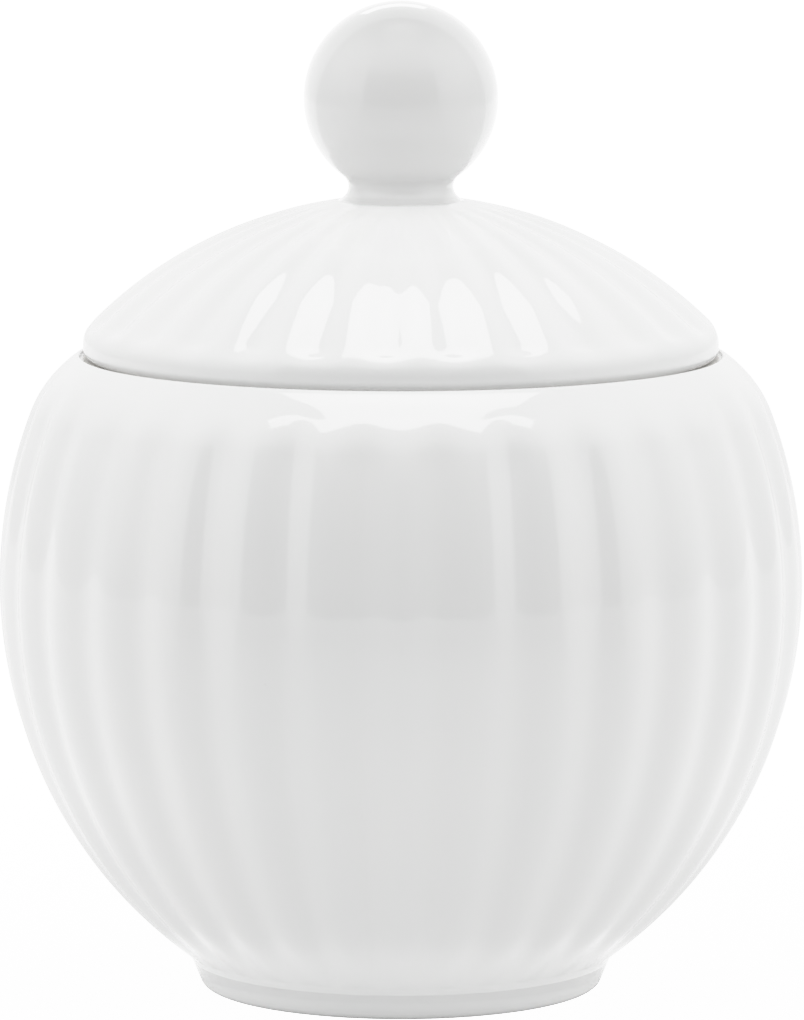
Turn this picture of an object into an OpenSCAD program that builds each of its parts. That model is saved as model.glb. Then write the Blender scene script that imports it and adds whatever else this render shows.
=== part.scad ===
// Fluted porcelain sugar bowl: a round bowl on a low foot ring, a domed lid
// that drops into the mouth, and a ball knob luted to the lid's crown.
// Z is up, the origin is the centre of the foot ring on the table.
// All sizes are millimetres.

/* [Bowl body] */
// Greatest diameter, measured over the flute crests
belly_d = 104; // [96:1:112]
// Height of the belly's widest point above the table
belly_z = 52.5; // [51:0.5:54]
// Radius of the side arc below the widest point
low_arc_r = 59.9; // [58.5:0.1:61.5]
// Radius of the side arc above the widest point
up_arc_r = 62.7; // [60:0.1:66]
// Angle above level at which the side arc gives way to the shoulder
shoulder_from = 21; // [19:1:23]
// Radius of the shoulder that rolls in to the mouth
shoulder_r = 15.5; // [15:0.1:16]
// Wall thickness at the belly, measured from the crests
wall = 3.7; // [3.2:0.1:4.5]
// Height of the inside floor
floor_z = 6.8; // [6.2:0.1:8]

/* [Mouth] */
// Radius of the shallow rebate that centres the lid's edge
rebate_r = 41.4; // [41.3:0.05:41.55]
// Height of the ledge the lid rests on
ledge_z = 81.9; // [81.8:0.05:82]
// Radius of the mouth inside the ledge
mouth_r = 38; // [37.8:0.1:38.4]

/* [Foot ring] */
// Height at which the foot ring's fillet runs out into the body
foot_h = 4.6; // [4.5:0.1:4.9]
// Radius at which the foot ring's side, carried on up, meets the body
foot_top_r = 27.1; // [26.9:0.05:27.3]
// Height of that corner, before its fillet
foot_top_z = 3.85; // [3.7:0.05:4]
// Radius of the foot ring just above its rounded bottom edge
foot_low_r = 26.1; // [25.8:0.05:26.4]
// Rounding of the foot ring's outer bottom edge
foot_edge = 1.25; // [1:0.05:1.5]
// Inner radius of the foot ring at the table
foot_in_r = 22.4; // [21.5:0.1:23]
// Height of the recess under the base
recess_h = 2.4; // [1.8:0.1:2.8]

/* [Flutes] */
// Number of flutes round the bowl
bowl_flutes = 32; // [24:1:34]
// Depth of the bowl's flutes at the belly
bowl_flute_depth = 0.74; // [0.4:0.02:1]
// Number of flutes round the lid
lid_flutes = 28; // [20:1:30]
// Depth of the lid's flutes near its edge
lid_flute_depth = 0.75; // [0.4:0.02:0.9]
// How far the lid is turned in its seat, in degrees
lid_turn = 3.55; // [-6:0.05:6]

/* [Lid] */
// Radius of the lid's edge
lid_r = 41; // [40.7:0.05:41.15]
// Radius of the lid's domed top
dome_r = 57; // [56:0.5:58]
// Height of the dome's apex, where the dome would close
dome_top = 102.88; // [102.5:0.02:103.3]
// Radius that rolls the dome over to the edge
edge_top_r = 4; // [3.6:0.1:4.4]
// Rounding under the edge
edge_low_r = 1.4; // [1.2:0.1:1.6]
// Thickness of the dome
lid_wall = 3; // [2.6:0.1:3.4]
// Outer radius of the ring that hangs in the mouth
flange_r = 37.4; // [37:0.1:37.6]
// Thickness of that ring
flange_t = 3; // [2.4:0.1:3.4]
// How far the ring hangs below the ledge
flange_h = 4.7; // [3.5:0.1:6]
// Radius of the vent hole under the hollow knob
vent_r = 1.3; // [1:0.1:1.8]

/* [Knob] */
// Diameter of the ball
knob_d = 25; // [23:0.1:26]
// Height of the ball's centre
knob_z = 115.47; // [115:0.05:116.5]
// Radius of the neck's narrowest point
neck_r = 6.77; // [6.4:0.05:7]
// Radius of the flat land on the lid that the knob's foot is luted to
land_r = 8.3; // [8.2:0.05:8.6]
// Radius of the knob's foot
knob_foot_r = 8; // [7.8:0.05:8.15]
// Thickness of the hollow ball's wall
knob_wall = 3.1; // [2.6:0.1:3.6]

/* [Hidden] */
glaze = [0.96, 0.96, 0.955];
$fn = 96;
overlap = 0.01;
far = 80;              // wider than any section, for cutting blocks
flute_steps = 6;       // points round each flute

// Bowl side: two arcs that meet at the belly, then the shoulder
belly_r = belly_d / 2;
low_cx = belly_r - low_arc_r;
up_cx = belly_r - up_arc_r;
shoulder_x = up_cx + (up_arc_r - shoulder_r) * cos(shoulder_from);
shoulder_z = belly_z + (up_arc_r - shoulder_r) * sin(shoulder_from);
lip_r = rebate_r + 0.3;                          // the shoulder stops here
lip_a = acos((lip_r - shoulder_x) / shoulder_r);
foot_a = asin((belly_z - foot_h) / low_arc_r);   // angle below level at the foot

// Bowl flutes: shallower at the foot, gone at the shoulder
foot_share = 0.45;     // part of the full depth left at the foot
foot_fade_h = 4;
shoulder_fade_z = 73;
shoulder_fade_h = 9.3;

// Inside of the bowl
floor_fillet = 12;
roof_fillet = 3;
roof_z = 78.4;         // underside of the inward lip that carries the ledge

// Foot ring
foot_inset = 0.22;     // fillet's end, inside the body's crest radius
recess_bevel = 0.4;    // at the table, inside the ring
recess_slope = 1.4;    // how far the recess narrows to its roof

// Lid: dome, then a roll to the edge. Angles are measured above level.
dome_cz = dome_top - dome_r;
land_z = dome_cz + sqrt(dome_r * dome_r - land_r * land_r);
land_a = acos(land_r / dome_r);
edge_x = lid_r - edge_top_r;
edge_a = acos(edge_x / (dome_r - edge_top_r));   // where roll and dome meet
edge_z = dome_cz + (dome_r - edge_top_r) * sin(edge_a);
flange_in_r = flange_r - flange_t;
flange_z = ledge_z - flange_h;
flange_edge = 1.1;     // rounding of the hanging ring's lower edges

// Lid flutes: deeper with radius, faded out at the land and at the edge
lid_flute_ref_r = 36.2;
lid_flute_power = 0.65;
lid_flute_scale = 0.766;
land_fade_gap = 1.5;
land_fade_w = 9;
edge_fade_r = 38.9;
edge_fade_w = 2.1;

// Knob
neck_step = 0.1;       // lowest point of the neck's groove above the land
knob_bore_r = 3.4;
knob_bore_h = 7;       // above the land, up into the hollow

function smooth(x) = let (t = min(1, max(0, x))) t * t * (3 - 2 * t);

// One flute: 0 on the crest, 1 in the valley. The valley is a little
// tighter than the crest.
function flute(a) = (0.965 - cos(a) + 0.035 * cos(2 * a)) / 2;

// Stations are [crest radius, height, flute depth, sink r, sink z]: a flute
// is sunk against the direction [sink r, sink z]. Each lies at angle a on an
// arc of radius arc_r about [cx, cz].

// Bowl stations, foot to lip, with flutes sunk level
function bowl_fade(z) = (1 - smooth((z - shoulder_fade_z) / shoulder_fade_h))
    * (foot_share + (1 - foot_share) * smooth((z - foot_h) / foot_fade_h));
function bowl_row(cx, cz, arc_r, a) =
    let (r = cx + arc_r * cos(a), z = cz + arc_r * sin(a))
    [r, z, bowl_flute_depth * r / belly_r * bowl_fade(z), 1, 0];
bowl_rows = concat(
    [for (i = [0:8]) bowl_row(low_cx, belly_z, low_arc_r, -foot_a * (1 - i / 9))],
    [for (i = [0:4]) bowl_row(up_cx, belly_z, up_arc_r, shoulder_from * i / 5)],
    [for (i = [0:5]) bowl_row(shoulder_x, shoulder_z, shoulder_r,
                              shoulder_from + (lip_a - shoulder_from) * i / 5)]);

// Lid stations, underside edge to crown land, with flutes sunk along the
// surface's normal
function lid_fade(r) = smooth((r - land_r - land_fade_gap) / land_fade_w)
    * (1 - smooth((r - edge_fade_r) / edge_fade_w));
function lid_depth(r) =
    lid_flute_depth * pow(r / lid_flute_ref_r, lid_flute_power) * lid_flute_scale * lid_fade(r);
function lid_row(cx, cz, arc_r, a) =
    let (r = cx + arc_r * cos(a))
    [r, cz + arc_r * sin(a), lid_depth(r), cos(a), sin(a)];
lid_rows = concat(
    [for (i = [0:3]) lid_row(lid_r - edge_low_r, ledge_z + edge_low_r, edge_low_r, -90 + 30 * i)],
    [for (i = [0:3]) lid_row(edge_x, edge_z, edge_top_r, edge_a * i / 4)],
    [for (i = [0:7]) lid_row(0, dome_cz, dome_r, edge_a + (land_a - edge_a) * i / 7)]);

// A closed solid through one ring of points per station, capped at both ends
module fluted(rows, count, turn) {
    ring = count * flute_steps;
    last = len(rows) - 1;
    points = [for (row = rows) for (j = [0:ring - 1])
        let (a = 360 * j / ring,
             depth = row[2] * flute(a * count),
             r = row[0] - depth * row[3],
             z = row[1] - depth * row[4])
        [r * cos(a + turn), r * sin(a + turn), z]];
    sides = [for (i = [0:last - 1]) for (j = [0:ring - 1])
        let (low = i * ring + j,
             low_next = i * ring + (j + 1) % ring,
             up = low + ring,
             up_next = low_next + ring)
        each [[low, up_next, low_next], [low, up, up_next]]];
    bottom = [for (j = [0:ring - 1]) j];
    top = [for (j = [ring - 1:-1:0]) last * ring + j];
    polyhedron(points = points, faces = concat(sides, [bottom], [top]), convexity = 6);
}

// The foot ring's section, with its own floor under the bowl. A fillet leads its
// side into the body: a circle that touches the side and the body's lowest ring.
module foot_section() {
    low = [foot_low_r, foot_edge];
    top = [low_cx + low_arc_r * cos(foot_a) - foot_inset, foot_h];
    body_normal = [cos(foot_a), -sin(foot_a)];
    run = [foot_top_r, foot_top_z] - low;
    side_normal = [run[1], -run[0]] / norm(run);
    fillet = (top - low) * side_normal / (1 - body_normal * side_normal);
    centre = top + fillet * body_normal;
    into_body = foot_h + 1;
    difference() {
        union() {
            translate([foot_low_r - foot_edge, foot_edge]) circle(r = foot_edge);
            square([foot_low_r - foot_edge, foot_edge * 2]);
            difference() {
                polygon([[0, foot_edge], low, centre - fillet * side_normal, top,
                         [top[0] - 1.6, into_body], [0, into_body]]);
                translate(centre) circle(r = fillet);
            }
        }
        polygon([[-1, -1], [foot_in_r + recess_bevel, -1], [foot_in_r, recess_bevel],
                 [foot_in_r - recess_slope, recess_h], [-1, recess_h]]);
    }
}

// A fillet circle rolled inside a side arc about [cx, belly_z], its centre
// rise above the belly: the centre's radius, and the height where they touch
function rolled_x(cx, arc_r, fillet, rise) = cx + sqrt(pow(arc_r - fillet, 2) - pow(rise, 2));
function touch_z(arc_r, fillet, rise) = belly_z + rise * arc_r / (arc_r - fillet);

// The hollow inside the bowl, with the mouth and the lid's rebate
module cavity_section() {
    in_low = low_arc_r - wall;
    in_up = up_arc_r - wall;
    floor_cz = floor_z + floor_fillet;
    floor_rise = floor_cz - belly_z;
    floor_x = rolled_x(low_cx, in_low, floor_fillet, floor_rise);
    roof_cz = roof_z - roof_fillet;
    roof_rise = roof_cz - belly_z;
    roof_x = rolled_x(up_cx, in_up, roof_fillet, roof_rise);
    difference() {
        intersection() {
            union() {
                intersection() {
                    translate([low_cx, belly_z]) circle(r = in_low);
                    square([far, belly_z]);
                }
                intersection() {
                    translate([up_cx, belly_z]) circle(r = in_up);
                    translate([0, belly_z - overlap]) square([far, 60]);
                }
            }
            translate([0, floor_z]) square([far, roof_z - floor_z]);
        }
        translate([floor_x, 0]) square([far, touch_z(in_low, floor_fillet, floor_rise)]);
        translate([roof_x, touch_z(in_up, roof_fillet, roof_rise)]) square([far, 20]);
    }
    translate([floor_x, floor_cz]) circle(r = floor_fillet);
    translate([roof_x, roof_cz]) circle(r = roof_fillet);
    translate([0, 60]) square([mouth_r, 30]);
    translate([0, ledge_z]) square([rebate_r, 10]);
}

module bowl() {
    color(glaze) difference() {
        union() {
            fluted(bowl_rows, bowl_flutes, -90);
            rotate_extrude($fn = 192) foot_section();
        }
        rotate_extrude($fn = 192) intersection() {
            cavity_section();
            square([far, 120]);
        }
    }
}

// The lid's hollow: the dome's inside, bounded by the hanging ring
module lid_hollow_section() {
    intersection() {
        translate([0, dome_cz]) circle(r = dome_r - lid_wall);
        translate([0, flange_z - 1]) square([flange_in_r, 60]);
    }
}

// The hanging ring, its two lower corners cut square and filled with circles
module flange_section() {
    difference() {
        translate([flange_in_r, flange_z]) square([flange_t, flange_h + 1]);
        for (x = [flange_r - flange_edge, flange_in_r - overlap])
            translate([x, flange_z - overlap]) square(flange_edge + overlap);
    }
    for (x = [flange_r - flange_edge, flange_in_r + flange_edge])
        translate([x, flange_z + flange_edge]) circle(r = flange_edge);
}

module lid() {
    color(glaze) difference() {
        union() {
            fluted(lid_rows, lid_flutes, lid_turn - 90);
            rotate_extrude($fn = 168) flange_section();
        }
        rotate_extrude($fn = 168) lid_hollow_section();
        translate([0, 0, land_z - lid_wall - 4])
            cylinder(r = vent_r, h = lid_wall + 6, $fn = 48);
    }
}

// Ball, neck groove and foot. The groove is a circle that touches the ball;
// its radius is the smaller root of g * g - b * g + c = 0.
module knob_section() {
    ball_r = knob_d / 2;
    drop = knob_z - land_z - neck_step;
    b = 2 * (drop + ball_r - neck_r);
    c = neck_r * neck_r + drop * drop - ball_r * ball_r;
    groove_r = (b - sqrt(b * b - 4 * c)) / 2;
    groove_z = land_z + groove_r + neck_step;
    meet_z = knob_z - (knob_z - groove_z) * ball_r / (ball_r + groove_r);
    difference() {
        union() {
            translate([0, knob_z]) circle(r = ball_r);
            translate([0, land_z]) square([knob_foot_r, meet_z - land_z]);
        }
        translate([neck_r + groove_r, groove_z]) circle(r = groove_r);
        translate([0, knob_z]) circle(r = ball_r - knob_wall);
        translate([-1, land_z - 1]) square([knob_bore_r + 1, knob_bore_h + 1]);
        // keep only the half right of the axis
        translate([-40, land_z - 20]) square([40, 80]);
    }
}

module knob() {
    color(glaze) rotate_extrude($fn = 128) knob_section();
}

bowl();
lid();
knob();
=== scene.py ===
"""A white porcelain bowl with a fluted side, a fluted domed lid and a ball knob.

Row frame: Z up, origin under the centre of the foot ring, camera on the -Y side.
The pieces are drawn in millimetres; the stage, lights and camera are in metres.
"""
import math
import bmesh
import bpy
import numpy as np
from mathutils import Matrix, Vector


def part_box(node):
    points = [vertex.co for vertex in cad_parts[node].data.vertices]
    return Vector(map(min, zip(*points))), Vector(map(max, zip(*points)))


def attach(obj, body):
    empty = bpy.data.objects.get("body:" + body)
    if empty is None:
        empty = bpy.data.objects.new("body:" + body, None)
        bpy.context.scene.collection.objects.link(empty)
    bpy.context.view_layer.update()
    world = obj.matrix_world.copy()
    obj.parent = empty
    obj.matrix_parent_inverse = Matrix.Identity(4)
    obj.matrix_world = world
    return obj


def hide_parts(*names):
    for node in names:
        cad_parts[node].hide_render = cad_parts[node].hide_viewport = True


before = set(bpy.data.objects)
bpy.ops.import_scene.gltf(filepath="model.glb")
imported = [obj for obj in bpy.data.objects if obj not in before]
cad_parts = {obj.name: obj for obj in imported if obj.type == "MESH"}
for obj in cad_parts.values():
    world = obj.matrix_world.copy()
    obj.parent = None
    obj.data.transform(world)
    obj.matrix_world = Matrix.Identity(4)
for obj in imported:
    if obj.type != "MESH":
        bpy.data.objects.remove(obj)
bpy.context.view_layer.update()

scene = bpy.context.scene
MM = 0.001

# ---------------------------------------------------------------- driving sizes (mm)
bowl_low, bowl_high = (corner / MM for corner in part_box("bowl"))
lid_low, lid_high = (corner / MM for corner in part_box("lid"))
knob_low, knob_high = (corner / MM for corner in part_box("knob"))

# bowl outside: a lower and an upper arc meet at the belly, then a tight shoulder
BELLY_R = (bowl_high.x - bowl_low.x) / 2          # over the flute crests
BELLY_Z = 52.5
LOWER_ARC_R = 59.9
UPPER_ARC_R = 62.7
SHOULDER_R = 15.5
SHOULDER_START = math.radians(21.0)
LIP_Z = bowl_high.z
UNDERSIDE_Z = 2.4
FOOT_INNER_R = 22.4
FOOT_OUTER_R = 25.75

# bowl mouth and inside
LEDGE_Z = 81.9                # the lid rests here
REBATE_R = 41.4
MOUTH_R = 38.0
MOUTH_LOW_Z = 78.4
WALL = 3.7
UNDERCUT_FILLET = 3.0         # under the mouth
FLOOR_Z = 6.8
FLOOR_FILLET = 12.0

# lid
LID_R = (lid_high.x - lid_low.x) / 2
DOME_R = 57.0
DOME_CENTRE_Z = 45.88
HOLLOW_R = 54.0               # the dome's underside, about the same centre
LAND_R = 8.3                  # flat land at the crown
HOLE_R = 1.3
EDGE_TOP = 4.0                # edge roundings, above and below
EDGE_LOW = 1.4
RING_OUTER_R = 37.4           # ring hanging inside the mouth
RING_INNER_R = 34.4
RING_DROP = 4.7

# knob
BALL_R = 12.5
KNOB_TOP = knob_high.z
BALL_Z = KNOB_TOP - BALL_R
LAND_Z = knob_low.z
NECK_R = 6.77
GROOVE_LIFT = 0.1             # groove's lowest point over the land
FOOT_FLARE = 0.55             # how far the foot runs out on the lid
FOOT_SINK = 0.12
BORE_R = 3.4
BALL_WALL = 3.1

# flutes
BOWL_FLUTES, BOWL_FLUTE_STEPS = 32, 16
LID_FLUTES, LID_FLUTE_STEPS = 28, 20
BOWL_FLUTE_DEPTH = 0.74       # at the belly
LID_FLUTE_DEPTH = 0.5745      # at radius LID_FLUTE_R
LID_FLUTE_R = 36.2
KNOB_STEPS = 256


# ---------------------------------------------------------------- shape tools
def ease(value, start, length):
    """Smooth 0..1 rise from start over length."""
    t = np.clip((value - start) / length, 0.0, 1.0)
    return t * t * (3 - 2 * t)


def flute(angle):
    """0 on a crest, 1 in a valley."""
    return (0.965 - np.cos(angle) + 0.035 * np.cos(2 * angle)) / 2


def unit(vector):
    return vector / np.linalg.norm(vector)


def add_object(name, data):
    made = bpy.data.objects.new(name, data)
    scene.collection.objects.link(made)
    return made


class Path:
    """A section of (r, z) points, walked as straight runs and arcs at a chosen pitch."""

    def __init__(self, r, z):
        self.points = [(float(r), float(z))]

    def to(self, r, z, step):
        r0, z0 = self.points[-1]
        count = max(1, int(round(math.hypot(r - r0, z - z0) / step)))
        for i in range(1, count + 1):
            self.points.append((r0 + (r - r0) * i / count, z0 + (z - z0) * i / count))
        return self

    def arc(self, centre_r, centre_z, radius, start, end, step):
        """Angles in degrees from +r towards +z. A start on the last point isn't repeated."""
        count = max(2, int(math.ceil(abs(math.radians(end - start)) * radius / step)))
        for i in range(count + 1):
            angle = math.radians(start + (end - start) * i / count)
            r = centre_r + radius * math.cos(angle)
            z = centre_z + radius * math.sin(angle)
            if math.hypot(r - self.points[-1][0], z - self.points[-1][1]) > 1e-4:
                self.points.append((r, z))
        return self

    def corners(self, *corners, step, arc_step):
        """On through corners (r, z, fillet radius), each rounded, to a last (r, z)."""
        stops = [np.array(point[:2], float) for point in (self.points[-1], *corners)]
        for before, corner, after, (_, _, fillet) in zip(stops, stops[1:], stops[2:], corners):
            back, onward = unit(before - corner), unit(after - corner)
            angle = math.acos(float(np.clip(back @ onward, -1, 1)))
            cut = min(fillet / math.tan(angle / 2),
                      0.49 * np.linalg.norm(before - corner),
                      0.49 * np.linalg.norm(after - corner))
            radius = cut * math.tan(angle / 2)
            start, end = corner + back * cut, corner + onward * cut
            centre = corner + unit(back + onward) * (radius / math.sin(angle / 2))
            self.to(*start, step=step)
            count = max(4, int(math.ceil((math.pi - angle) * radius / arc_step)))
            spoke0, spoke1 = (start - centre) / radius, (end - centre) / radius
            sweep = math.acos(float(np.clip(spoke0 @ spoke1, -1, 1)))
            for i in range(1, count + 1):
                share = i / count
                spoke = (math.sin((1 - share) * sweep) * spoke0
                         + math.sin(share * sweep) * spoke1) / math.sin(sweep)
                r, z = centre + spoke * radius
                self.points.append((float(r), float(z)))
        return self.to(*stops[-1], step=step)


def spin_mesh(name, rows, around, flutes=1, turn=0.0, on_axis=True):
    """A closed solid of revolution with flutes.

    rows: (r, z, depth, normal_r, normal_z); a valley sinks by depth against the normal.
    on_axis: the section's two ends sit on the axis; otherwise they join each other."""
    rows = np.array(rows, float)
    angle = np.arange(around) * (2 * math.pi / around)
    valley = flute(angle[None, :] * flutes)
    r = rows[:, 0:1] - rows[:, 2:3] * rows[:, 3:4] * valley
    z = rows[:, 1:2] - rows[:, 2:3] * rows[:, 4:5] * valley
    grid = np.stack([r * np.cos(angle + turn), r * np.sin(angle + turn), z], -1)
    if on_axis:
        grid = grid[1:-1]
    rings = len(grid)
    points = [grid.reshape(-1, 3)]
    i, j = np.meshgrid(np.arange(rings - 1), np.arange(around), indexing="ij")
    following = (j + 1) % around
    quads = np.stack([i * around + j, i * around + following,
                      (i + 1) * around + following, (i + 1) * around + j], -1)
    faces = quads.reshape(-1, 4).tolist()
    last = (rings - 1) * around
    pairs = [(j, (j + 1) % around) for j in range(around)]
    if on_axis:
        pole = rings * around
        points += [[[0, 0, rows[0, 1]]], [[0, 0, rows[-1, 1]]]]
        faces += [[pole, k, j] for j, k in pairs]
        faces += [[pole + 1, last + j, last + k] for j, k in pairs]
    else:
        faces += [[last + j, last + k, k, j] for j, k in pairs]
    mesh = bpy.data.meshes.new(name)
    mesh.from_pydata((np.vstack(points) * MM).tolist(), [], faces)
    mesh.validate()
    mesh.update()
    bm = bmesh.new()
    bm.from_mesh(mesh)
    bmesh.ops.recalc_face_normals(bm, faces=bm.faces)
    bm.to_mesh(mesh)
    bm.free()
    for polygon in mesh.polygons:
        polygon.use_smooth = True
    return add_object(name, mesh)


# ---------------------------------------------------------------- bowl
def bowl_section():
    """Section from the underside's centre, over the lip, to the floor's centre.

    Also gives how many of its points are on the outside."""
    deg = math.degrees
    lower_r, upper_r = BELLY_R - LOWER_ARC_R, BELLY_R - UPPER_ARC_R   # arc centres
    shoulder_r = upper_r + (UPPER_ARC_R - SHOULDER_R) * math.cos(SHOULDER_START)
    shoulder_z = BELLY_Z + (UPPER_ARC_R - SHOULDER_R) * math.sin(SHOULDER_START)
    lip_angle = math.acos((REBATE_R + 0.3 - shoulder_r) / SHOULDER_R)

    # underside and foot ring, from the axis outwards
    path = Path(0.0, UNDERSIDE_Z).corners(
        (21.0, UNDERSIDE_Z, 1.4),
        (FOOT_INNER_R, 0.0, 0.45),
        (FOOT_OUTER_R, 0.0, 1.35),
        (27.13, 3.36),
        step=2.0, arc_step=0.2)
    path.arc(29.75, 2.36, 2.80, 159.1, 126.8, step=0.2)
    # the side, up to the shoulder and the lip
    side_start = -deg(math.asin((BELLY_Z - 4.66) / LOWER_ARC_R))
    path.arc(lower_r, BELLY_Z, LOWER_ARC_R, side_start, 0, step=1.5)
    path.arc(upper_r, BELLY_Z, UPPER_ARC_R, 0, deg(SHOULDER_START), step=1.5)
    path.arc(shoulder_r, shoulder_z, SHOULDER_R,
             deg(SHOULDER_START), deg(lip_angle) - 1.5, step=0.65)
    outside = len(path.points)
    # rebate, ledge and mouth
    path.corners(
        (REBATE_R + 0.03, LIP_Z - 0.02, 0.28),
        (REBATE_R, LEDGE_Z, 0.22),
        (MOUTH_R, LEDGE_Z, 0.55),
        (MOUTH_R, MOUTH_LOW_Z, 1.6),
        (40.6, 77.6),
        step=1.2, arc_step=0.16)

    # inside wall, down to the floor
    inner_lower, inner_upper = LOWER_ARC_R - WALL, UPPER_ARC_R - WALL
    top_z = MOUTH_LOW_Z - UNDERCUT_FILLET
    top_r = upper_r + math.sqrt(
        (inner_upper - UNDERCUT_FILLET) ** 2 - (top_z - BELLY_Z) ** 2)
    top_angle = deg(math.atan2(top_z - BELLY_Z, top_r - upper_r))
    path.arc(top_r, top_z, UNDERCUT_FILLET, 88, top_angle, step=0.6)
    path.arc(upper_r, BELLY_Z, inner_upper, top_angle, 0, step=3.2)
    low_z = FLOOR_Z + FLOOR_FILLET
    low_r = lower_r + math.sqrt((inner_lower - FLOOR_FILLET) ** 2 - (BELLY_Z - low_z) ** 2)
    low_angle = deg(math.atan2(low_z - BELLY_Z, low_r - lower_r))
    path.arc(lower_r, BELLY_Z, inner_lower, 0, low_angle, step=3.2)
    path.arc(low_r, low_z, FLOOR_FILLET, low_angle, -90, step=1.6)
    path.to(0.0, FLOOR_Z, step=5.0)
    return path.points, outside


def bowl_flute_depth(r, z):
    """Flutes run out over the shoulder and soften towards the foot."""
    fade = ((1 - ease(z, start=73.0, length=9.3))
            * (0.45 + 0.55 * ease(z, start=4.6, length=4.0))
            * ease(z, start=3.9, length=1.6))
    return BOWL_FLUTE_DEPTH * r / BELLY_R * fade


def make_bowl():
    section, outside = bowl_section()
    rows = []
    for i, (r, z) in enumerate(section):
        depth = bowl_flute_depth(r, z) if i < outside and r > 26.0 else 0.0
        rows.append((r, z, depth, 1.0, 0.0))
    return spin_mesh("bowl_porcelain", rows, BOWL_FLUTES * BOWL_FLUTE_STEPS,
                     flutes=BOWL_FLUTES, turn=math.radians(-90))


# ---------------------------------------------------------------- lid
edge_r = LID_R - EDGE_TOP     # centre of the upper edge rounding
edge_tilt = math.asin(edge_r / (DOME_R - EDGE_TOP))
edge_z = DOME_CENTRE_Z + (DOME_R - EDGE_TOP) * math.cos(edge_tilt)


def dome_z(r, radius=DOME_R):
    return DOME_CENTRE_Z + math.sqrt(radius ** 2 - r ** 2)


def lid_section():
    """Closed section: crown hole, land, dome, edge, underside, hanging ring, hollow.

    Also gives how many of its points are on the outside."""
    deg = math.degrees
    land_z = dome_z(LAND_R)
    hole_z = land_z - 1.5
    path = Path(HOLE_R, hole_z).corners(
        (HOLE_R, land_z, 0.3), (LAND_R, land_z), step=1.2, arc_step=0.12)
    land_tilt = deg(math.asin(LAND_R / DOME_R))
    path.arc(0, DOME_CENTRE_Z, DOME_R, 90 - land_tilt, 90 - deg(edge_tilt), step=0.8)
    path.arc(edge_r, edge_z, EDGE_TOP, 90 - deg(edge_tilt), 0, step=0.3)
    path.arc(LID_R - EDGE_LOW, LEDGE_Z + EDGE_LOW, EDGE_LOW, 0, -90, step=0.16)
    outside = len(path.points)
    path.corners(
        (RING_OUTER_R, LEDGE_Z, 0.5),
        (RING_OUTER_R, LEDGE_Z - RING_DROP, 1.1),
        (RING_INNER_R, LEDGE_Z - RING_DROP, 1.1),
        (RING_INNER_R, dome_z(RING_INNER_R, HOLLOW_R), 2.2),
        (30.0, dome_z(30.0, HOLLOW_R)),
        step=0.9, arc_step=0.16)
    path.arc(0, DOME_CENTRE_Z, HOLLOW_R, 90 - deg(math.asin(29.9 / HOLLOW_R)),
             90 - deg(math.asin(1.7 / HOLLOW_R)), step=1.8)
    path.corners((HOLE_R, dome_z(HOLE_R, HOLLOW_R), 0.25), (HOLE_R, hole_z),
                 step=0.8, arc_step=0.1)
    path.points.pop()         # the section closes on its first point
    return path.points, outside


def lid_flute_depth(r):
    """Flutes rise outside the land and run out before the edge."""
    fade = ease(r, start=9.8, length=9.0) * (1 - ease(r, start=38.9, length=2.1))
    return LID_FLUTE_DEPTH * (r / LID_FLUTE_R) ** 0.65 * fade


def make_lid():
    section, outside = lid_section()
    dome_end_z = edge_z + EDGE_TOP * math.cos(edge_tilt)
    rows = []
    for i, (r, z) in enumerate(section):
        depth, normal = 0.0, (0.0, 1.0)
        if i < outside and r > 8.4 and z > edge_z - 0.5:
            depth = lid_flute_depth(r)
            centre = (0, DOME_CENTRE_Z) if z > dome_end_z else (edge_r, edge_z)
            normal = unit(np.array([r - centre[0], z - centre[1]]))
        rows.append((r, z, depth, *normal))
    return spin_mesh("lid_porcelain", rows, LID_FLUTES * LID_FLUTE_STEPS,
                     flutes=LID_FLUTES, turn=math.radians(3.55 - 90), on_axis=False)


# ---------------------------------------------------------------- knob
def make_knob():
    """A hollow ball on a grooved neck; its section runs from the top down and back inside."""
    # groove radius: tangent to the ball, and NECK_R at its narrowest
    drop = BALL_Z - LAND_Z - GROOVE_LIFT
    linear = 2 * (drop + BALL_R - NECK_R)
    constant = NECK_R * NECK_R + drop * drop - BALL_R * BALL_R
    groove = (linear - math.sqrt(linear * linear - 4 * constant)) / 2
    groove_z = LAND_Z + groove + GROOVE_LIFT
    groove_r = NECK_R + groove
    rise = BALL_Z - groove_z
    path = Path(0.0, KNOB_TOP)
    path.arc(0, BALL_Z, BALL_R, 90, -math.degrees(math.asin(rise / (BALL_R + groove))),
             step=0.42)
    path.arc(groove_r, groove_z, groove, math.degrees(math.atan2(rise, -groove_r)), 236,
             step=0.1)

    # the glaze runs out on the lid's crown, and the foot sits a hair into its land
    start_r, start_z = path.points[-1]
    foot_r = start_r + FOOT_FLARE
    foot_z = dome_z(foot_r) - 0.03
    for i in range(1, 7):
        share = i / 6
        fall = 1 - (1 - share) ** 1.8
        path.points.append((start_r + (foot_r - start_r) * share,
                            start_z + (foot_z - start_z) * fall))
    path.corners(
        (foot_r - 0.1, LAND_Z - FOOT_SINK, 0.05),
        (BORE_R, LAND_Z - FOOT_SINK, 0.25),
        (BORE_R, BALL_Z - 8.6, 0.8),
        (4.6, BALL_Z - 8.2),
        step=0.8, arc_step=0.12)
    inner_r = BALL_R - BALL_WALL
    path.arc(0, BALL_Z, inner_r, -math.degrees(math.acos(4.7 / inner_r)), 90, step=1.4)
    rows = [(r, z, 0.0, 1.0, 0.0) for r, z in path.points]
    return spin_mesh("knob_porcelain", rows, KNOB_STEPS)


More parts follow.
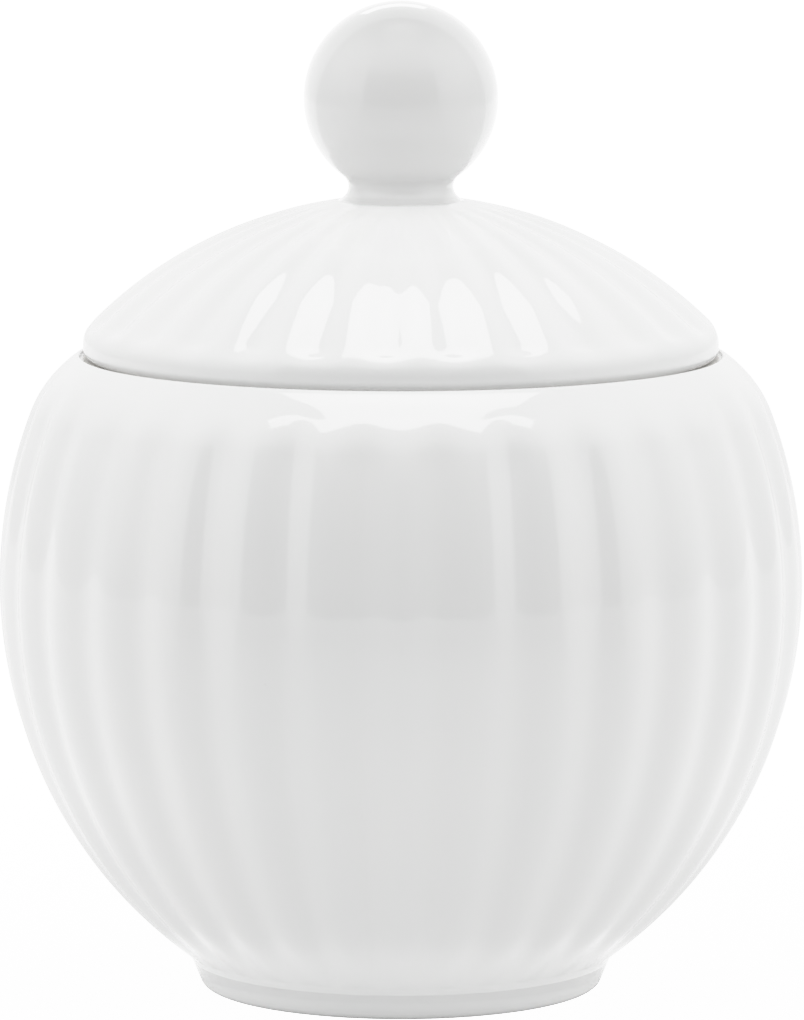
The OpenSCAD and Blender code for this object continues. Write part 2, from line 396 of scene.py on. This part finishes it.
bowl = make_bowl()
lid = make_lid()
knob = make_knob()
for piece, body, node in ((bowl, "bowl_body", "bowl"),
                          (lid, "lid_body", "lid"),
                          (knob, "lid_body", "knob")):
    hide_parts(node)
    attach(piece, body)


# ---------------------------------------------------------------- shader tools
class Shader:
    """Short hand for building one node tree."""

    def __init__(self, owner):
        owner.use_nodes = True
        self.nodes, self.links = owner.node_tree.nodes, owner.node_tree.links
        self.nodes.clear()

    def node(self, kind, inputs=None, **settings):
        """A node with its settings; inputs maps sockets to values or to sockets to link."""
        made = self.nodes.new("ShaderNode" + kind)
        for key, value in settings.items():
            setattr(made, key, value)
        for key, value in (inputs or {}).items():
            if isinstance(value, bpy.types.NodeSocket):
                self.links.new(value, made.inputs[key])
            else:
                made.inputs[key].default_value = value
        return made

    def math(self, operation, *values):
        return self.node("Math", dict(enumerate(values)), operation=operation).outputs[0]

    def length(self, vector):
        return self.node("VectorMath", {0: vector}, operation="LENGTH").outputs["Value"]

    def fade(self, value, between=(0.0, 1.0), levels=(0.0, 1.0), kind="SMOOTHSTEP"):
        """Takes value over the span between to the levels at its two ends."""
        return self.node("MapRange", {
            "Value": value, "From Min": between[0], "From Max": between[1],
            "To Min": levels[0], "To Max": levels[1]}, interpolation_type=kind).outputs[0]

    def mix(self, factor, a, b, kind="FLOAT"):
        return self.node("Mix", {"Factor": factor, "A": a, "B": b},
                         data_type=kind).outputs["Result"]

    def mix_shader(self, factor, first, second):
        return self.node("MixShader", {0: factor, 1: first, 2: second}).outputs[0]

    def noise(self, vector, scale, detail):
        return self.node("TexNoise", {"Vector": vector, "Scale": scale,
                                      "Detail": detail}).outputs["Fac"]

    def bump(self, height, strength, distance):
        return self.node("Bump", {"Height": height, "Strength": strength,
                                  "Distance": distance}).outputs[0]

    def ramp(self, value, stops):
        """stops: (position, rgba)."""
        made = self.node("ValToRGB", {0: value})
        elements = made.color_ramp.elements
        while len(elements) < len(stops):
            elements.new(1.0)
        for i, (position, colour) in enumerate(stops):
            elements[i].position = position
            elements[i].color = colour
        return made.outputs[0]

    def levels_round(self, azimuth, stops):
        """Levels up to 2 by azimuth; stops: (degrees, level)."""
        halves = [(degrees / 180, (level / 2, level / 2, level / 2, 1))
                  for degrees, level in stops]
        return self.math("MULTIPLY", self.ramp(self.math("DIVIDE", azimuth, 180.0), halves), 2.0)

    def azimuth(self, vector):
        """Degrees from the camera's side (-Y), the same to left and right; and z."""
        split = self.node("SeparateXYZ", {0: vector})
        across = self.math("ABSOLUTE", split.outputs[0])
        near = self.math("MULTIPLY", split.outputs[1], -1.0)
        angle = self.math("ARCTAN2", across, near)
        return self.math("MULTIPLY", angle, 180 / math.pi), split.outputs[2]


# ---------------------------------------------------------------- porcelain
# Unglazed rings, in metres: (low z, high z, softness in z, inner r, outer r)
BOWL_BARE = [
    (-0.001, 0.00008, 0.00005, 0.0224, 0.0251),     # foot
    (0.0817, 0.08205, 0.0001, 0.0384, 0.0410),      # ledge
]
LID_BARE = [(0.0810, 0.0821, 0.00015, 0.0372, 0.0401)]    # seat outside the hanging ring
BARE_R_SOFTNESS = 0.0002


def bare_mask(shader, position, rings):
    """1 where there is no glaze."""
    split = shader.node("SeparateXYZ", {0: position})
    flat = shader.node("CombineXYZ", {0: split.outputs[0], 1: split.outputs[1]})
    radius = shader.length(flat.outputs[0])

    def band(value, low, high, soft):
        rise = shader.fade(value, between=(low - soft, low + soft))
        fall = shader.fade(value, between=(high - soft, high + soft), levels=(1.0, 0.0))
        return shader.math("MULTIPLY", rise, fall)

    masks = [shader.math("MULTIPLY", band(split.outputs[2], low, high, soft),
                         band(radius, inner, outer, BARE_R_SOFTNESS))
             for low, high, soft, inner, outer in rings]
    mask = masks[0]
    for other in masks[1:]:
        mask = shader.math("MAXIMUM", mask, other)
    return mask


def porcelain(name, bare=None, painted_shade=1.0):
    """Glazed white porcelain. bare lists its unglazed rings; the third argument darkens the body
    colour, a painted shade for a piece that takes less light.
    """
    material = bpy.data.materials.new(name)
    shader = Shader(material)
    position = shader.node("TexCoord").outputs["Object"]

    # body colour: faint cloudiness of the fired clay under the glaze
    cloud = shader.noise(position, scale=45.0, detail=3.0)
    # the clay's level is scaled by the painted-shade factor: below 1 it paints shade into the
    # colour
    clay = shader.ramp(cloud, [
        (0.3, (0.795 * painted_shade, 0.798 * painted_shade, 0.796 * painted_shade, 1)),
        (0.7, (0.810 * painted_shade, 0.810 * painted_shade, 0.807 * painted_shade, 1)),
    ])

    # a rare pin-sized fleck in the clay: its size, then its strength
    cells = shader.node("TexVoronoi", {"Vector": position, "Scale": 120.0})
    fleck = shader.math("LESS_THAN", cells.outputs["Distance"], 0.012)
    fleck = shader.math("MULTIPLY", fleck, 0.12)
    colour = shader.mix(fleck, clay, (0.45, 0.42, 0.38, 1), kind="RGBA")

    # glaze: gently uneven thickness bends the reflections a little
    wave = shader.noise(position, scale=70.0, detail=1.5)
    fine = shader.noise(position, scale=900.0, detail=2.0)
    fine_share = 0.02
    height = shader.math("MULTIPLY_ADD", fine, fine_share, wave)
    normal = shader.bump(height, strength=0.08, distance=0.00025)
    roughness = shader.fade(cloud, levels=(0.015, 0.035), kind="LINEAR")

    if bare:
        mask = bare_mask(shader, position, bare)
        grain = shader.noise(position, scale=2200.0, detail=4.0)
        grain_normal = shader.bump(grain, strength=0.5, distance=0.00012)
        colour = shader.mix(mask, colour, (0.80, 0.785, 0.76, 1), kind="RGBA")
        roughness = shader.mix(mask, roughness, b=0.62)
        normal = shader.mix(mask, normal, grain_normal, kind="VECTOR")

    surface = shader.node("BsdfPrincipled", {
        "Base Color": colour, "Roughness": roughness, "Normal": normal, "IOR": 1.60})
    shader.node("OutputMaterial", {0: surface.outputs[0]})
    return material


def finish_with(piece, material):
    piece.data.materials.clear()
    piece.data.materials.append(material)


# the knob's body colour is scaled to 0.93: painted shade, the same porcelain as the lid and bowl
# made greyer because the knob takes less light
for piece, bare, painted_shade in ((bowl, BOWL_BARE, 1.0), (lid, LID_BARE, 1.0), (knob, None, 0.93)):
    finish_with(piece, porcelain("glazed_" + piece.name, bare, painted_shade))

# the CAD nodes are hidden, and still get the same finish
cad_finish = porcelain("glazed_cad")
for cad_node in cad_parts.values():
    finish_with(cad_node, cad_finish)


# ---------------------------------------------------------------- floor
FLOOR_HALF = 0.95
FLOOR_FAR_Y = 1.6
FLOOR_SINK = 0.00002          # keeps the floor just clear of the foot


def backdrop(shader, away, down):
    """Brightness of the plain backdrop: white along the stage (+Y), pale grey from the
    sides or high up. away: degrees off +Y; down: sine of the sight line's fall."""
    grey = shader.math("MAXIMUM", shader.fade(away, between=(14, 34)),
                       shader.fade(down, between=(0.37, 0.62)))
    return shader.mix(grey, a=2.2, b=0.84)


def floor_material():
    material = bpy.data.materials.new("floor_white")
    shader = Shader(material)
    geometry = shader.node("NewGeometry").outputs
    azimuth, _ = shader.azimuth(geometry["Position"])
    far = shader.length(geometry["Position"])

    # what the object sees of the table: white, dimmer towards the camera's side
    dim = shader.math("MULTIPLY", shader.fade(azimuth, between=(60, 40)),
                      shader.fade(far, between=(0.08, 0.45)))
    dim_strength = 0.43
    glow = shader.math("ADD",
                       shader.fade(far, between=(0.029, 0.036), levels=(1.32, 0.89)),
                       shader.fade(far, between=(0.042, 0.090), levels=(0.0, 0.21)))
    glow = shader.math("SUBTRACT", glow, shader.math("MULTIPLY", dim, dim_strength))
    glowing = shader.node("Emission", {"Strength": glow})
    under_foot = shader.node("BsdfDiffuse", {"Color": (0.93, 0.93, 0.93, 1)})
    to_object = shader.mix_shader(shader.fade(far, between=(0.0243, 0.0338)),
                                  under_foot.outputs[0], glowing.outputs[0])

    # what the camera sees of it: white, with a trace of the contact shadow; more of the
    # shadow shows from higher up
    sight = geometry["Incoming"]
    down = shader.node("VectorMath", {0: sight, 1: (0, 0, 1)},
                       operation="DOT_PRODUCT").outputs["Value"]
    away, _ = shader.azimuth(sight)
    shadowed = shader.node("BsdfDiffuse", {"Color": (0.66, 0.66, 0.66, 1)})
    white = shader.node("Emission", {"Strength": backdrop(shader, away, down)})
    whiteness = shader.mix(shader.fade(down, between=(0.15, 0.36)),
                           shader.fade(far, between=(0.05, 0.30), levels=(0.80, 1.0)),
                           shader.fade(far, between=(0.06, 0.34), levels=(0.05, 1.0)))
    to_camera = shader.mix_shader(whiteness, shadowed.outputs[0], white.outputs[0])

    is_camera = shader.node("LightPath").outputs["Is Camera Ray"]
    shader.node("OutputMaterial", {0: shader.mix_shader(is_camera, to_object, to_camera)})
    return material


floor_mesh = bpy.data.meshes.new("floor")
floor_mesh.from_pydata([
    (-FLOOR_HALF, -FLOOR_HALF, 0), (FLOOR_HALF, -FLOOR_HALF, 0),
    (FLOOR_HALF, FLOOR_FAR_Y, 0), (-FLOOR_HALF, FLOOR_FAR_Y, 0),
], [], [(0, 1, 2, 3)])
floor = add_object("floor", floor_mesh)
floor.location.z = -FLOOR_SINK
floor_mesh.materials.append(floor_material())

# ---------------------------------------------------------------- world
# A white tent: the camera sees plain white; the porcelain sees panels whose level
# depends on how far round and how high they are.
# Height in degrees, then (degrees round from the camera, level)
TENT = [
    (0, [(0, 0.08), (43, 0.20), (48, 0.82), (70, 0.86),
         (107, 0.82), (122, 0.82), (150, 0.95), (180, 0.98)]),
    (13, [(0, 0.14), (43, 0.28), (48, 1.08), (70, 1.24),
          (107, 0.95), (122, 0.95), (150, 1.00), (180, 1.02)]),
    (27, [(0, 0.34), (43, 0.52), (48, 1.20), (70, 1.37),
          (90, 1.43), (107, 1.26), (135, 0.90), (180, 0.88)]),
    (41, [(0, 1.05), (40, 1.20), (50, 1.40), (70, 1.54),
          (90, 1.47), (112, 1.18), (138, 0.88), (180, 0.88)]),
    (55, [(0, 1.28), (40, 1.38), (62, 1.48), (88, 1.31), (116, 0.95), (142, 0.76), (180, 0.62)]),
    (69, [(0, 1.50), (30, 1.40), (60, 1.12), (100, 0.82), (135, 0.66), (180, 0.52)]),
    (82, [(0, 1.15), (90, 1.20), (180, 1.25)]),
]


def make_world():
    world = bpy.data.worlds.new("studio")
    scene.world = world
    shader = Shader(world)
    azimuth, up = shader.azimuth(shader.node("TexCoord").outputs["Generated"])
    elevation = shader.math("MULTIPLY", shader.math("ARCSINE", up), 180 / math.pi)
    level = shader.levels_round(azimuth, TENT[0][1])
    for (low, _), (high, stops) in zip(TENT[:-1], TENT[1:]):
        share = shader.fade(elevation, between=(low, high), kind="LINEAR")
        level = shader.mix(share, level, shader.levels_round(azimuth, stops))
    away = shader.math("SUBTRACT", 180.0, azimuth)
    down = shader.math("MULTIPLY", up, -1.0)
    tent, plain = (
        shader.node("Background", {"Color": (1, 1, 1, 1), "Strength": strength}).outputs[0]
        for strength in (level, backdrop(shader, away, down)))
    is_camera = shader.node("LightPath").outputs["Is Camera Ray"]
    shader.node("OutputWorld", {0: shader.mix_shader(is_camera, tent, plain)})


make_world()


# ---------------------------------------------------------------- lights
def linked(name, objects, state="INCLUDE"):
    """A light-linking collection."""
    collection = bpy.data.collections.new(name)
    for i, member in enumerate(objects):
        collection.objects.link(member)
        collection.collection_objects[i].light_linking.link_state = state
    return collection


def softbox(name, size, location, target, receivers, radiance=0.0, watts=None,
            blockers=None, shape="RECTANGLE", spread=None, unseen_by=None):
    """An area light aimed at target. Its power is watts, or follows from radiance."""
    light = bpy.data.lights.new(name, "AREA")
    light.shape = shape
    light.size, light.size_y = size
    if watts is None:
        fill_share = math.pi / 4 if shape == "ELLIPSE" else 1.0
        watts = radiance * math.pi * size[0] * size[1] * fill_share
    light.energy = watts
    if spread is not None:
        light.spread = spread
    lamp = add_object(name, light)
    lamp.location = location
    aim = Vector(target) - Vector(location)
    lamp.rotation_euler = aim.to_track_quat("-Z", "Y").to_euler()
    if unseen_by:
        setattr(lamp, "visible_" + unseen_by, False)
    lamp.light_linking.receiver_collection = receivers
    if blockers:
        lamp.light_linking.blocker_collection = blockers


# The ball is flagged off the main softbox, so it carries no hard square spot.
softbox("top_softbox", size=(0.70, 0.66), location=(0.03, 0.005, 1.09),
        target=(0.03, 0.005, 0), radiance=1.7,
        receivers=linked("not_knob", [knob], "EXCLUDE"),
        blockers=linked("knob_casts_none", [knob], "EXCLUDE"))
# its near edge, seen only as a reflection on the bowl's shoulder
softbox("softbox_edge", size=(1.06, 0.285), location=(0, -0.468, 1.09),
        target=(0, -0.468, 0), radiance=1.9, unseen_by="diffuse",
        receivers=linked("bowl_only", [bowl]))
# a low card on the camera's side lifts the lid
softbox("lid_card", size=(0.6, 0.3), location=(0, -0.45, -0.35),
        target=(0, 0, 0.086), radiance=0.62, unseen_by="glossy",
        receivers=linked("lid_only", [lid]),
        blockers=linked("card_passes", [bowl, floor, lid, knob], "EXCLUDE"))
# the knob's own lights: a wide panel behind for the pale rim
softbox("knob_rim", size=(0.45, 0.348), location=(0, 0.10, 0.189),
        target=(0, 0, 0.189), radiance=0.45, shape="ELLIPSE", unseen_by="diffuse",
        receivers=linked("knob_only", [knob]))
# a low fill for the neck
softbox("knob_fill", size=(0.5, 0.3), location=(0, -0.6, -0.1),
        target=(0, 0, 0.105), radiance=1.05, unseen_by="glossy",
        receivers=linked("knob_only_fill", [knob]),
        blockers=linked("fill_passes", [knob, lid, bowl, floor], "EXCLUDE"))
# a narrow beam on the neck, from the camera's side
softbox("neck_snoot", size=(0.0160, 0.0030), location=(0, -0.35, 0.1150),
        target=(0, 0, 0.1027), watts=2.5e-5, spread=math.radians(0.35), unseen_by="glossy",
        receivers=linked("neck_only", [knob]))
# a small highlight on the ball, from above and behind
softbox("knob_spark", size=(0.050, 0.017), location=(-0.006, 0.080, 0.179),
        target=(0, 0, 0.115), radiance=1.9, unseen_by="diffuse",
        receivers=linked("spark_knob", [knob]))

# ---------------------------------------------------------------- camera
CAMERA_DISTANCE = 1.0104822   # from the aim point on the Z axis
CAMERA_ELEVATION = 0.1318     # radians
AIM_Z = 0.0620453

camera_data = bpy.data.cameras.new("camera")
camera = add_object("camera", camera_data)
camera_data.sensor_fit = "AUTO"
camera_data.sensor_width = 36.0
camera_data.lens = 275.717647
camera_data.shift_x = 0.00107843137
camera_data.clip_start, camera_data.clip_end = 0.05, 20.0
camera.location = (0, -CAMERA_DISTANCE * math.cos(CAMERA_ELEVATION),
                   AIM_Z + CAMERA_DISTANCE * math.sin(CAMERA_ELEVATION))
camera.rotation_euler = (math.pi / 2 - CAMERA_ELEVATION, 0, 0)
scene.camera = camera

# ---------------------------------------------------------------- tone
# a soft shoulder: straight up to the knee, then rolling off to white
KNEE = 0.8
ROLL_OFF = 0.18
WHITE_LEVEL = 2

view = scene.view_settings
view.view_transform = "Standard"
view.look = "None"
view.exposure = 0.0
view.gamma = 1.0
view.use_curve_mapping = True
mapping = view.curve_mapping
mapping.black_level, mapping.white_level = (0, 0, 0), (WHITE_LEVEL,) * 3
tone = mapping.curves[3]
knots = [(0.0, 0.0), (0.4, 0.4), (KNEE, KNEE)]
knots += [(level, KNEE + ROLL_OFF * (1 - math.exp((KNEE - level) / ROLL_OFF)))
          for level in (0.85, 0.9, 0.95, 1.0, 1.08, 1.16, 1.28, 1.4)]
knots += [(1.6, 0.985), (2.0, 1.0)]
while len(tone.points) < len(knots):
    tone.points.new(1.0, 1.0)
for point, (level, shown) in zip(tone.points, knots):
    point.location = (level / WHITE_LEVEL, shown)
    point.handle_type = "VECTOR"
mapping.update()
